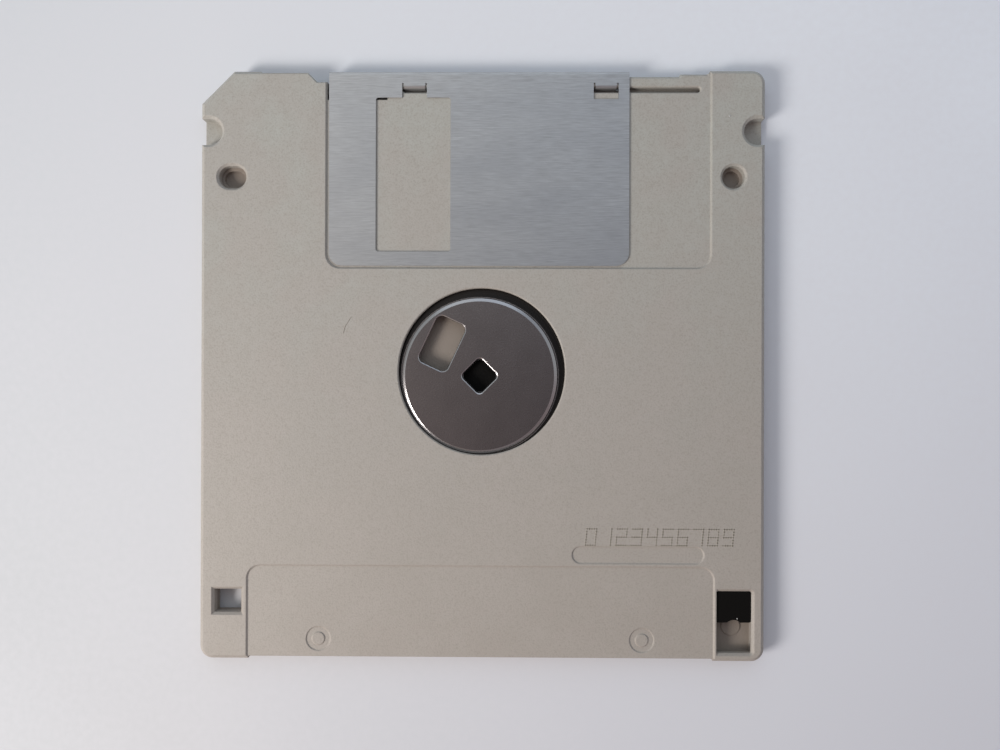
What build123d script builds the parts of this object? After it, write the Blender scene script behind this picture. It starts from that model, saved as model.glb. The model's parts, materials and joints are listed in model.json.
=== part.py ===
from build123d import *
import os
from math import acos, atan2, cos, degrees, hypot, pi, sin

# A 3.5-inch flexible disk in its hard case, lying on its label side.
# X runs across the case, Y runs towards the shutter edge, Z runs up to the hub side.
# The origin is the centre of the case's outline, on the plane that the label side lies on.

os.makedirs("parts", exist_ok=True)

# Case
case_width = 90.0
case_length = 94.0
case_thickness = 3.3
skin = 0.95  # thickness of each shell's face
side_wall = 1.1  # between the disk pocket and the side of the case
rear_wall = 2.1  # between the disk pocket and the rear edge
outer_wall = 1.2  # round the hollow corners
corner_radius = 2.0
corner_cut = 5.2  # the corner that keeps the disk from going in upside down
edge_bevel = 0.55
step_bevel = 0.2
ledge_bevel = 0.35  # on the edge that the shutter folds over
seam_bevel = 0.08
overrun = 2.0  # how far a cut runs out past an edge of the case
rib = 1.1  # the round rib that holds the disk in

# Front edge, from the left corner to the right one
shoulder_run = 9.5
shoulder_drop = 0.3
lever_notch_gap = 1.9  # flat part of the lever notch that shows beside the shutter
lever_notch_reach = 2.5  # and that runs on behind the shutter
lever_notch_depth = 1.8
shutter_setback = 0.85  # front edge behind the shutter's fold
right_ledge_run = 5.0
right_ledge_setback = 0.48

# Places that a drive finds the case by
locating_setback = 17.0  # from the front edge to the locating holes
locating_inset = 5.0  # from the sides of the case
locating_radius = 1.8
locating_slot_length = 4.4
locating_bevel = 0.35
locating_step = 0.5  # the hole's floor stands in from its wall by this
hub_setback = 31.0  # from the locating holes to the hub's axis
sensor_rise = 9.25  # from the rear edge to the two sensor holes
handling_notch_radius = 2.1
handling_notch_inset = 1.2
handling_notch_rise = 7.3  # from the locating holes towards the front
notch_bevel = 0.45
density_hole_width = 4.3
density_hole_length = 3.7
density_hole_inset = 4.45
hole_bevel = 0.4
boss_wall = 1.0

# Recesses in the outer faces
recess_depth = 0.35
recess_lip = 0.25
label_depth = 0.25
label_width = 74.2
label_centre_x = -0.2
label_wrap = 14.85  # on the hub side, from the rear edge
rear_inset_depth = 0.45  # where the label wraps round the rear edge
label_length = 56.0  # on the label side, from the rear edge
label_radius = 2.0
label_lip = 0.25
pill_width = 20.7
pill_height = 2.5
pill_gap = 0.75
pill_inset = 1.6
pill_depth = 0.2
ring_spread = 25.8
ring_inset = 3.25
ring_radius = 1.85
ring_core_radius = 1.1
ring_depth = 0.15

# Shutter
sheet = 0.2
shutter_width = 47.9
shutter_length = 31.1
shutter_travel = 12.6
shutter_clearance = 0.06  # between each leaf and the recess under it
shutter_side_gap = 0.3
shutter_end_gap = 0.25
shutter_front_gap = 0.05  # from the front corners of the case back to the fold
shutter_corner = 2.1
fold_radius = 0.6
window_width = 11.93
window_left_margin = 7.5
window_rear_margin = 2.25
window_corner = 0.4
head_window_width = 8.2
head_window_margin = 0.4  # inside the shutter's window, front and rear
head_window_offset = 1.57  # the open window's centre lies this far to the right
head_window_corner = 0.6

# Tabs that hook the shutter to the case, and their groove
groove_setback = 3.0  # from the front corners of the case to the groove's middle
groove_width = 0.8
groove_bevel = 0.2
groove_start_gap = 0.3  # beside the left tab when the shutter is shut
groove_end_gap = 0.75
tab_width = 3.35
tab_slot_width = 3.95
tab_end_gap = 0.1  # between the tab's end and the groove's floor
tab_clearance = 0.05
tab_slot_length = 1.95  # from the bend back
window_tab_overlap = 0.3  # the left tab's slot runs this far into the window
opener_show_x = 1.8  # the opener's clearance under the shutter shows this far in the shut window
opener_show_y = 0.3
right_tab_inset = 3.7
tab_bend = 0.5
left_tab_offset = 0.18
ear_width = 0.25
ear_length = 0.35

# Shutter spring
wire = 0.34
wire_sides = 8  # the thin wire has flat sides
coil_radius = 2.0
coil_whole_turns = 1
coil_pitch = 0.37
coil_inset_x = 7.6
coil_inset_y = 9.4
spring_hook_gap = 0.04
anchor_gap = 0.05
anchor_rise = 3.5  # from the locating holes towards the front
hook_length = 0.6

# Disk, hub and liners
disk_thickness = 0.08
disk_play = 1.0  # between the disk and its pocket, all round
hub_radius = 12.4
hub_play = 0.9
hub_window_bevel = 0.15
hub_rest_x = -0.35  # where the loose disk lies, from the middle of its pocket
hub_rest_y = -0.70
hub_sheet = 0.25
hub_recess = 0.35  # below the face of the case
hub_shoulder = 0.5  # width of the bevel round the top
hub_shoulder_drop = 0.26
flange_width = 2.2
flange_bend = 0.2
adhesive = 0.05
adhesive_inset = 0.1
disk_hole_gap = 0.35
square_size = 4.0
square_corner = 0.6
square_rim = 0.2
square_turn = 45.0
slot_width = 5.0
slot_length = 8.1
slot_corner = 1.0
slot_rim = 0.06
slot_x = -6.0
slot_y = 5.16
slot_angle = 65.0
liner = 0.2
liner_margin = 0.5
liner_hole_gap = 2.4
liner_gap_width = 10.6
pad_radius = 4.0
pad_thickness = 0.5
pad_seat = 0.15
pad_clearance = 0.05
pad_bevel = 0.12
lifter_width = 9.0
lifter_length = 20.0
lifter_sheet = 0.1
lifter_seat = 0.2
lifter_clearance = 0.4
lifter_foot = 3.0
lifter_inset = 16.4  # from the liner's edge to the leaf's middle
lifter_rise = 5.0

# Write-protect slider
slider_window_width = 5.6
slider_window_inset = 2.0
slider_window_rear = 1.35
slider_window_corner = 0.3
slider_window_rise = 1.9  # from the sensor line up to the window's front edge
slider_travel = 4.6
slider_clearance = 0.05
slider_end_gap = 0.2
slider_recess = 0.3
slider_flange = 0.45
slider_flange_gap = 0.1
slider_flange_rise = 0.3
slider_shell = 0.8
slider_bevel = 0.12
slider_lift = 0.2
thumb_notch_radius = 1.5
thumb_notch_rise = 0.4  # how far the notch cuts into the slider's rear edge
detent_height = 0.15
detent_clearance = 0.05
sensor_hole_width = 4.0
sensor_hole_front = 0.6
sensor_hole_gap = 0.2

# Corner posts, welded face to face, with locating pins at two opposite corners
post_radius = 1.4
pin_radius = 0.6
pin_length = 0.45
pin_clearance = 0.06
pocket_start = 12.0  # where the hollow corners start, from the middle of the case
pocket_front_run = 30.0
pocket_rear_run = 31.0
front_post_inset_x = 9.5
front_post_inset_y = 7.5
spring_post_inset_x = 4.4
spring_post_inset_y = 4.1
rear_post_inset_x = 11.0
rear_post_inset_y = 4.3

# Levels, from the label side up
half_width = case_width / 2
half_length = case_length / 2
seam = case_thickness / 2
floor = skin
ceiling = case_thickness - skin
label_recess_floor = recess_depth
hub_recess_floor = case_thickness - recess_depth
label_floor = case_thickness - label_depth
disk_bottom = seam - disk_thickness / 2
flange_top = disk_bottom - adhesive
flange_bottom = flange_top - hub_sheet
hub_top = case_thickness - hub_recess
flange_radius = hub_radius + flange_width

# Places
locating_x = half_width - locating_inset
locating_y = half_length - locating_setback
hub_y = locating_y - hub_setback
sensor_y = -half_length + sensor_rise
groove_y = half_length - groove_setback
groove_front = groove_y + groove_width / 2
groove_rear = groove_y - groove_width / 2
notch_x = half_width - handling_notch_inset
notch_y = locating_y + handling_notch_rise
density_x = -half_width + density_hole_inset
pocket_radius = min(
    half_width - side_wall,
    half_length + hub_y - rear_wall,
    groove_rear - hub_y - tab_clearance,
)
disk_radius = pocket_radius - disk_play
rotor_x = hub_rest_x
rotor_y = hub_y + hub_rest_y
hub_window_radius = hub_radius + hub_play
liner_radius = pocket_radius - liner_margin
lifter_x = lifter_inset - liner_radius
lifter_left = lifter_x - lifter_width / 2
lifter_y = hub_y + lifter_rise
label_front = -half_length + label_wrap
label_right = label_centre_x + label_width / 2
pill_x = label_right - pill_inset - pill_width / 2
pill_y = label_front + pill_gap + pill_height / 2

# Shutter's places, worked out from where its window has to stand when it is open
window_x = head_window_offset - shutter_travel
shutter_left = window_x - window_width / 2 - window_left_margin
shutter_right = shutter_left + shutter_width
shutter_front = half_length - shutter_front_gap
shutter_rear = shutter_front - shutter_length
tab_front = groove_front - tab_clearance
tab_rear = tab_front - sheet
bend_front = tab_rear + tab_bend
window_rear = shutter_rear + window_rear_margin
tab_slot_rear = tab_front - tab_slot_length
window_front = tab_slot_rear + window_tab_overlap
window_length = window_front - window_rear
window_y = (window_front + window_rear) / 2
head_rear = window_rear + head_window_margin
head_front = window_front - head_window_margin
recess_left = shutter_left - shutter_side_gap
recess_right = shutter_right + shutter_travel + shutter_side_gap
recess_rear = shutter_rear - shutter_end_gap
left_tab_x = window_x + left_tab_offset
right_tab_x = shutter_right - right_tab_inset
groove_left = left_tab_x - tab_width / 2 - groove_start_gap
groove_right = right_tab_x + tab_width / 2 + shutter_travel + groove_end_gap
hub_leaf = hub_recess_floor + shutter_clearance
label_leaf = label_recess_floor - shutter_clearance
tab_end = seam + tab_end_gap

# Slider's places
slider_window_right = half_width - slider_window_inset
slider_x = slider_window_right - slider_window_width / 2
slider_window_front = sensor_y + slider_window_rise
slider_window_back = -half_length + slider_window_rear
slider_window_length = slider_window_front - slider_window_back
slider_width = slider_window_width - 2 * slider_clearance
slider_front = slider_window_front - slider_clearance
slider_rear = slider_window_back + slider_end_gap + slider_travel
slider_length = slider_front - slider_rear
flange_front = slider_front + slider_flange_rise
flange_width_x = slider_width + 2 * slider_flange
slider_pocket_width = flange_width_x + 2 * slider_flange_gap
slider_pocket_front = flange_front + slider_flange_gap
slider_bottom = floor + slider_lift
slider_top = case_thickness - slider_recess
thumb_y = slider_rear + thumb_notch_rise - thumb_notch_radius
sensor_hole_top = flange_front - sensor_hole_front
sensor_hole_bottom = flange_front - slider_travel + sensor_hole_gap

# Spring's places
coil_x = half_width - coil_inset_x
coil_y = half_length - coil_inset_y
hook_x = right_tab_x + tab_width / 2 + spring_hook_gap + wire / 2
hook_y = tab_front - wire / 2
anchor_x = half_width - outer_wall - anchor_gap
anchor_y = locating_y + anchor_rise
anchor_turn = atan2(anchor_y - coil_y, anchor_x - coil_x)
anchor_turn -= acos(coil_radius / hypot(anchor_x - coil_x, anchor_y - coil_y))
hook_turn = atan2(hook_y - coil_y, hook_x - coil_x)
hook_turn += acos(coil_radius / hypot(hook_x - coil_x, hook_y - coil_y))
coil_height = coil_pitch * (coil_whole_turns + (anchor_turn - hook_turn) / (2 * pi) % 1)
coil_bottom = (floor + ceiling - coil_height) / 2

PINNED_POSTS = [
    (-half_width + front_post_inset_x, half_length - front_post_inset_y),
    (half_width - rear_post_inset_x, -half_length + rear_post_inset_y),
]
PLAIN_POSTS = [
    (half_width - spring_post_inset_x, half_length - spring_post_inset_y),
    (-half_width + rear_post_inset_x, -half_length + rear_post_inset_y),
]


# Outlines that both shells share

with BuildSketch() as case_outline:
    with BuildLine():
        Polyline(
            (-half_width, -half_length),
            (-half_width, half_length - corner_cut),
            (-half_width + corner_cut, half_length),
            (half_width, half_length),
            (half_width, -half_length),
            close=True,
        )
    make_face()
    right_corners = case_outline.vertices().group_by(Axis.X)[-1]
    rear_left_corner = case_outline.vertices().group_by(Axis.Y)[0].sort_by(Axis.X)[0]
    fillet([*right_corners, rear_left_corner], corner_radius)

lever_x = shutter_left - lever_notch_gap - lever_notch_depth + shoulder_drop
lever_end = shutter_left + lever_notch_reach
ledge_x = recess_right - right_ledge_run
ledge_rise = shutter_setback - right_ledge_setback
beyond = half_length + overrun

with BuildSketch() as front_steps:
    with BuildLine():
        Polyline(
            (-half_width + shoulder_run, half_length),
            (-half_width + shoulder_run + shoulder_drop, half_length - shoulder_drop),
            (lever_x, half_length - shoulder_drop),
            (shutter_left - lever_notch_gap, half_length - lever_notch_depth),
            (lever_end, half_length - lever_notch_depth),
            (lever_end + lever_notch_depth - shutter_setback, half_length - shutter_setback),
            (ledge_x, half_length - shutter_setback),
            (ledge_x + ledge_rise, half_length - right_ledge_setback),
            (recess_right, half_length - right_ledge_setback),
            (recess_right, beyond),
            (-half_width + shoulder_run, beyond),
            close=True,
        )
    make_face()

with BuildSketch() as shutter_recess:
    with Locations(((recess_left + recess_right) / 2, (recess_rear + beyond) / 2)):
        Rectangle(recess_right - recess_left, beyond - recess_rear)
    fillet(shutter_recess.vertices().group_by(Axis.Y)[0], shutter_corner)

with BuildSketch() as ledge:
    with Locations((0, beyond - overrun / 2 - shutter_setback / 2)):
        Rectangle(case_width, overrun + shutter_setback)
    add(front_steps.sketch, mode=Mode.INTERSECT)
    inner_end = recess_right - recess_lip - ledge_bevel
    with Locations((inner_end + case_width / 2, beyond)):
        Rectangle(case_width, case_length, mode=Mode.SUBTRACT)
    outer_end = recess_left + recess_lip + ledge_bevel
    with Locations((outer_end - case_width / 2, beyond)):
        Rectangle(case_width, case_length, mode=Mode.SUBTRACT)

with BuildSketch() as disk_pocket:
    with Locations((0, hub_y)):
        Circle(pocket_radius)

with BuildSketch() as head_window:
    with Locations((0, (head_front + head_rear) / 2)):
        RectangleRounded(head_window_width, head_front - head_rear, head_window_corner)

with BuildSketch() as groove:
    with Locations(((groove_left + groove_right) / 2, groove_y)):
        SlotOverall(groove_right - groove_left, groove_width)

with BuildSketch() as opener_clearance:
    opener_right = window_x - window_width / 2 + opener_show_x
    opener_rear = window_front - opener_show_y
    opener_front = half_length - lever_notch_depth
    with Locations(((recess_left + opener_right) / 2, (opener_rear + opener_front) / 2)):
        Rectangle(opener_right - recess_left, opener_front - opener_rear)

with BuildSketch() as density_hole:
    with Locations((density_x, sensor_y)):
        Rectangle(density_hole_width, density_hole_length)

with BuildSketch() as handling_notches:
    notch_run = handling_notch_inset + overrun
    for side in (-1, 1):
        with Locations((side * notch_x, notch_y)):
            Circle(handling_notch_radius)
        with Locations((side * (half_width + overrun - notch_run / 2), notch_y)):
            Rectangle(notch_run, 2 * handling_notch_radius)

with BuildSketch() as locating_holes:
    with Locations((locating_x, locating_y)):
        Circle(locating_radius)
    with Locations((-locating_x, locating_y)):
        SlotOverall(locating_slot_length, 2 * locating_radius)

with BuildSketch() as slider_pocket:
    pocket_back = -half_length + outer_wall
    with Locations((slider_x, (slider_pocket_front + pocket_back) / 2)):
        Rectangle(slider_pocket_width, slider_pocket_front - pocket_back)

with BuildSketch() as slider_window:
    with Locations((slider_x, (slider_window_front + slider_window_back) / 2)):
        Rectangle(slider_window_width, slider_window_length)
    outer_corners = slider_window.vertices().group_by(Axis.X)[-1]
    fillet(outer_corners, slider_window_corner)

# The window's left side stays sharp, so its bevel starts that much further right.
with BuildSketch() as slider_window_bevel:
    add(slider_window.sketch)
    with Locations((slider_x - slider_window_width / 2, sensor_y)):
        Rectangle(2 * hole_bevel, case_length, mode=Mode.SUBTRACT)

with BuildSketch() as locating_floors:
    offset(locating_holes.sketch, -locating_step)

with BuildSketch() as pad_seat_outline:
    with Locations((0, hub_y)):
        Circle(pad_radius + pad_clearance)

with BuildSketch() as lifter_seat_outline:
    with Locations((lifter_x, lifter_y)):
        Rectangle(lifter_width + 2 * lifter_clearance, lifter_length + 2 * lifter_clearance)

with BuildSketch() as rear_inset:
    with Locations((label_centre_x, -half_length)):
        Rectangle(label_width, 2 * rear_inset_depth)

with BuildSketch() as pill:
    with Locations((pill_x, pill_y)):
        SlotOverall(pill_width, pill_height)

with BuildSketch() as ring_marks:
    for side in (-1, 1):
        with Locations((label_centre_x + side * ring_spread, -half_length + ring_inset)):
            Circle(ring_radius)
            Circle(ring_core_radius, mode=Mode.SUBTRACT)

# The hollow corners lie outside the round rib, and leave a wall round every hole.
with BuildSketch() as hollow_corners:
    inner_x = half_width - outer_wall
    front_run = groove_front - locating_y + pocket_front_run / 2
    for side in (-1, 1):
        with Locations((side * (inner_x + pocket_start) / 2, groove_front - front_run / 2)):
            Rectangle(inner_x - pocket_start, front_run)
        with Locations((side * (inner_x + pocket_start) / 2, pocket_back + pocket_rear_run / 2)):
            Rectangle(inner_x - pocket_start, pocket_rear_run)
    with Locations((0, hub_y)):
        Circle(pocket_radius + rib, mode=Mode.SUBTRACT)
    with Locations((-half_width, half_length)):
        solid_corner = 2 * (corner_cut + outer_wall)
        Rectangle(solid_corner, solid_corner, rotation=45, mode=Mode.SUBTRACT)
    with Locations(*PINNED_POSTS, *PLAIN_POSTS):
        Circle(post_radius, mode=Mode.SUBTRACT)
    offset(locating_holes.sketch, boss_wall, mode=Mode.SUBTRACT)
    offset(handling_notches.sketch, boss_wall, mode=Mode.SUBTRACT)
    offset(density_hole.sketch, boss_wall, mode=Mode.SUBTRACT)
    offset(slider_pocket.sketch, boss_wall, mode=Mode.SUBTRACT)

# On the label side they end behind the groove, because the seam is the groove's floor.
with BuildSketch() as lower_corners:
    add(hollow_corners.sketch)
    with Locations((0, (groove_rear + half_length) / 2)):
        Rectangle(case_width, half_length - groove_rear, mode=Mode.SUBTRACT)


def label_recess(run):
    """The recess for the label, from behind the rear edge to run in front of it."""
    with BuildSketch() as recess:
        front = -half_length + run
        back = -beyond
        with Locations((label_centre_x, (front + back) / 2)):
            Rectangle(label_width, front - back)
        fillet(recess.vertices().group_by(Axis.Y)[-1], label_radius)
    return recess.sketch


def cut(outline, bottom, top):
    """Cut outline out of the part between two levels."""
    with BuildSketch(Plane.XY.offset(bottom)) as hole:
        add(outline)
    extrude(hole.sketch, amount=top - bottom, mode=Mode.SUBTRACT)


def sink(outline, foot, face, lip):
    """Sink outline from a face down to foot, with a wall that leans out by lip."""
    with BuildSketch(Plane.XY.offset(foot)) as base:
        add(outline)
    lean = degrees(atan2(lip, abs(face - foot)))
    extrude(base.sketch, amount=face - foot, taper=-lean, mode=Mode.SUBTRACT)


# The half that the label is stuck on

with BuildPart() as label_side_shell:
    add(case_outline.sketch)
    extrude(amount=seam)
    chamfer(label_side_shell.faces().sort_by(Axis.Z)[0].edges(), edge_bevel)
    chamfer(label_side_shell.faces().sort_by(Axis.Z)[-1].edges(), seam_bevel)
    cut(front_steps.sketch, 0, seam)
    cut(rear_inset.sketch, 0, seam)
    cut(disk_pocket.sketch, floor, seam)
    cut(lower_corners.sketch, floor, seam)
    cut(slider_pocket.sketch, floor, seam)
    cut(head_window.sketch, 0, seam)
    cut(pad_seat_outline.sketch, floor - pad_seat, floor)
    cut(lifter_seat_outline.sketch, floor - lifter_seat, floor)
    sink(shutter_recess.sketch, label_recess_floor, 0, recess_lip)
    sink(label_recess(label_length), label_depth, 0, label_lip)
    cut(density_hole.sketch, 0, seam)
    sink(density_hole.sketch, hole_bevel, 0, hole_bevel)
    cut(handling_notches.sketch, floor, seam)
    cut(locating_floors.sketch, floor, seam)
    with BuildSketch(Plane.XY.offset(seam)):
        with Locations(*PINNED_POSTS):
            Circle(pin_radius + pin_clearance)
    extrude(amount=-pin_length - pin_clearance, mode=Mode.SUBTRACT)
    with BuildSketch(Plane.XY.offset(floor)):
        with Locations((slider_x, thumb_y)):
            Circle(thumb_notch_radius)
    extrude(amount=detent_height)
    with BuildSketch():
        with Locations((slider_x, (sensor_hole_top + sensor_hole_bottom) / 2)):
            Rectangle(sensor_hole_width, sensor_hole_top - sensor_hole_bottom)
    extrude(amount=floor, mode=Mode.SUBTRACT)
label_side_shell.part.label = "label_side_shell"
export_step(label_side_shell.part, "parts/label_side_shell.step")


# The half that the drive's spindle and pins reach into

with BuildPart() as hub_side_shell:
    with BuildSketch(Plane.XY.offset(seam)):
        add(case_outline.sketch)
    extrude(amount=case_thickness - seam)
    chamfer(hub_side_shell.faces().sort_by(Axis.Z)[-1].edges(), edge_bevel)
    chamfer(hub_side_shell.faces().sort_by(Axis.Z)[0].edges(), seam_bevel)
    cut(front_steps.sketch, seam, case_thickness)
    sink(front_steps.sketch, case_thickness - step_bevel, case_thickness, step_bevel)
    cut(rear_inset.sketch, seam, case_thickness)
    cut(disk_pocket.sketch, seam, ceiling)
    cut(hollow_corners.sketch, seam, ceiling)
    cut(groove.sketch, seam, case_thickness)
    sink(groove.sketch, hub_recess_floor - groove_bevel, hub_recess_floor, groove_bevel)
    cut(opener_clearance.sketch, ceiling, case_thickness)
    cut(slider_pocket.sketch, seam, ceiling)
    cut(head_window.sketch, seam, case_thickness)
    sink(shutter_recess.sketch, hub_recess_floor, case_thickness, recess_lip)
    sink(ledge.sketch, hub_recess_floor - ledge_bevel, hub_recess_floor, ledge_bevel)
    sink(label_recess(label_wrap), label_floor, case_thickness, label_lip)
    sink(pill.sketch, case_thickness - pill_depth, case_thickness, pill_depth)
    sink(ring_marks.sketch, label_floor - ring_depth, label_floor, ring_depth)
    with BuildSketch(Plane.XY.offset(ceiling)):
        with Locations((0, hub_y)):
            Circle(hub_window_radius)
    extrude(amount=skin, mode=Mode.SUBTRACT)
    chamfer(hub_side_shell.edges(Select.LAST).group_by(Axis.Z)[-1], hub_window_bevel)
    cut(locating_holes.sketch, seam, case_thickness)
    sink(locating_holes.sketch, case_thickness - locating_bevel, case_thickness, locating_bevel)
    cut(density_hole.sketch, seam, case_thickness)
    sink(density_hole.sketch, case_thickness - hole_bevel, case_thickness, hole_bevel)
    cut(handling_notches.sketch, seam, case_thickness)
    sink(handling_notches.sketch, case_thickness - notch_bevel, case_thickness, notch_bevel)
    cut(slider_window.sketch, ceiling, case_thickness)
    sink(slider_window_bevel.sketch, case_thickness - hole_bevel, case_thickness, hole_bevel)
    with BuildSketch(Plane.XY.offset(seam)):
        with Locations(*PINNED_POSTS):
            Circle(pin_radius)
    extrude(amount=-pin_length)
hub_side_shell.part.label = "hub_side_shell"
export_step(hub_side_shell.part, "parts/hub_side_shell.step")


# Wiping liners, one welded inside each shell, open where the heads reach in


def wiping_ring(level):
    """One liner, with its lower face at level."""
    with BuildPart() as ring:
        with BuildSketch(Plane.XY.offset(level)):
            with Locations((0, hub_y)):
                Circle(liner_radius)
            with Locations((0, hub_y)):
                Circle(hub_window_radius + liner_hole_gap, mode=Mode.SUBTRACT)
            with Locations((0, hub_y + pocket_radius)):
                reach = 2 * (hub_y + pocket_radius - head_rear + liner_margin)
                Rectangle(liner_gap_width, reach, mode=Mode.SUBTRACT)
        extrude(amount=liner)
    return ring.part


hub_side_liner = wiping_ring(ceiling - liner)
hub_side_liner.label = "hub_side_liner"
export_step(hub_side_liner, "parts/hub_side_liner.step")

label_side_liner = wiping_ring(floor)
label_side_liner.label = "label_side_liner"
export_step(label_side_liner, "parts/label_side_liner.step")


# The leaf that lifts the lower liner against the disk

with BuildPart() as lifter:
    with BuildSketch(Plane.XZ.offset(-lifter_y - lifter_length / 2)):
        with BuildLine():
            Polyline(
                (lifter_left, floor - lifter_seat),
                (lifter_left + lifter_foot, floor - lifter_seat),
                (lifter_left + lifter_width, floor - lifter_sheet),
                (lifter_left + lifter_width, floor),
                (lifter_left + lifter_foot, floor - lifter_seat + lifter_sheet),
                (lifter_left, floor - lifter_seat + lifter_sheet),
                close=True,
            )
        make_face()
    extrude(amount=lifter_length)
lifter.part.label = "lifter"
export_step(lifter.part, "parts/lifter.step")


# The pad that the hub's middle runs over

with BuildPart() as wear_pad:
    with BuildSketch(Plane.XY.offset(floor - pad_seat)):
        with Locations((0, hub_y)):
            Circle(pad_radius)
    extrude(amount=pad_thickness)
    chamfer(wear_pad.edges().group_by(Axis.Z)[-1], pad_bevel)
wear_pad.part.label = "wear_pad"
export_step(wear_pad.part, "parts/wear_pad.step")


# Pressed steel hub: a shallow cup with a flange, a square hole and a drive slot

with BuildPart() as hub:
    with BuildSketch(Plane((rotor_x, rotor_y, 0), x_dir=(1, 0, 0), z_dir=(0, -1, 0))) as hub_section:
        with BuildLine():
            Polyline(
                (0, hub_top),
                (hub_radius - hub_shoulder, hub_top),
                (hub_radius, hub_top - hub_shoulder_drop),
                (hub_radius, flange_top),
                (flange_radius, flange_top),
                (flange_radius, flange_bottom),
                (hub_radius - hub_sheet, flange_bottom),
                (hub_radius - hub_sheet, hub_top - hub_sheet),
                (0, hub_top - hub_sheet),
                close=True,
            )
        make_face()
        inner_wall, wall = hub_section.vertices().group_by(Axis.X)[2:4]
        chamfer(inner_wall.sort_by(Axis.Y)[-1], hub_shoulder_drop)
        chamfer(wall.sort_by(Axis.Y)[0], flange_bend)
        chamfer(inner_wall.sort_by(Axis.Y)[0], flange_bend + hub_sheet)
    revolve(axis=Axis((rotor_x, rotor_y, 0), (0, 0, 1)))
    with BuildSketch(Plane((rotor_x, rotor_y, hub_top))):
        RectangleRounded(square_size, square_size, square_corner, rotation=square_turn)
    extrude(amount=-2 * hub_sheet, mode=Mode.SUBTRACT)
    chamfer(hub.edges(Select.LAST).group_by(Axis.Z)[-1], square_rim)
    with BuildSketch(Plane((rotor_x, rotor_y, hub_top))):
        with Locations((slot_x, slot_y)):
            RectangleRounded(slot_length, slot_width, slot_corner, rotation=slot_angle)
    extrude(amount=-2 * hub_sheet, mode=Mode.SUBTRACT)
    chamfer(hub.edges(Select.LAST).group_by(Axis.Z)[-1], slot_rim)
hub.part.label = "hub"
export_step(hub.part, "parts/hub.step")


# The film disk, and the glue that holds it to the hub's flange


def flat_ring(inner_radius, outer_radius, level, thickness):
    """A ring about the hub's axis, with its lower face at level."""
    with BuildPart() as ring:
        with BuildSketch(Plane((rotor_x, rotor_y, level))):
            Circle(outer_radius)
            Circle(inner_radius, mode=Mode.SUBTRACT)
        extrude(amount=thickness)
    return ring.part


magnetic_disk = flat_ring(hub_radius + disk_hole_gap, disk_radius, disk_bottom, disk_thickness)
magnetic_disk.label = "magnetic_disk"
export_step(magnetic_disk, "parts/magnetic_disk.step")

hub_adhesive_ring = flat_ring(
    hub_radius + disk_hole_gap, flange_radius - adhesive_inset, flange_top, adhesive
)
hub_adhesive_ring.label = "hub_adhesive_ring"
export_step(hub_adhesive_ring, "parts/hub_adhesive_ring.step")


# Write-protect slider: a hollow block with a flange that stays under the skin

with BuildPart() as write_protect_slider:
    with BuildSketch(Plane.XY.offset(slider_bottom)):
        with Locations((slider_x, (slider_rear + flange_front) / 2)):
            Rectangle(flange_width_x, flange_front - slider_rear)
    extrude(amount=ceiling - slider_flange_gap - slider_bottom)
    with BuildSketch(Plane.XY.offset(slider_bottom)):
        with Locations((slider_x, (slider_rear + slider_front) / 2)):
            RectangleRounded(slider_width, slider_length, slider_window_corner)
    extrude(amount=slider_top - slider_bottom)
    chamfer(write_protect_slider.faces().sort_by(Axis.Z)[-1].edges(), slider_bevel)
    with BuildSketch(Plane.XY.offset(slider_bottom)):
        with Locations((slider_x, (slider_rear + slider_front) / 2)):
            Rectangle(slider_width - 2 * slider_shell, slider_length - 2 * slider_shell)
    extrude(amount=slider_top - slider_bottom - slider_shell, mode=Mode.SUBTRACT)
    with BuildSketch(Plane.XY.offset(slider_bottom)):
        with Locations((slider_x, thumb_y)):
            Circle(thumb_notch_radius + detent_clearance)
    extrude(amount=slider_top - slider_bottom, mode=Mode.SUBTRACT)
write_protect_slider.part.label = "write_protect_slider"
export_step(write_protect_slider.part, "parts/write_protect_slider.step")


# Shutter: one sheet folded over the front edge, with two tabs bent down into the groove

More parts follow.
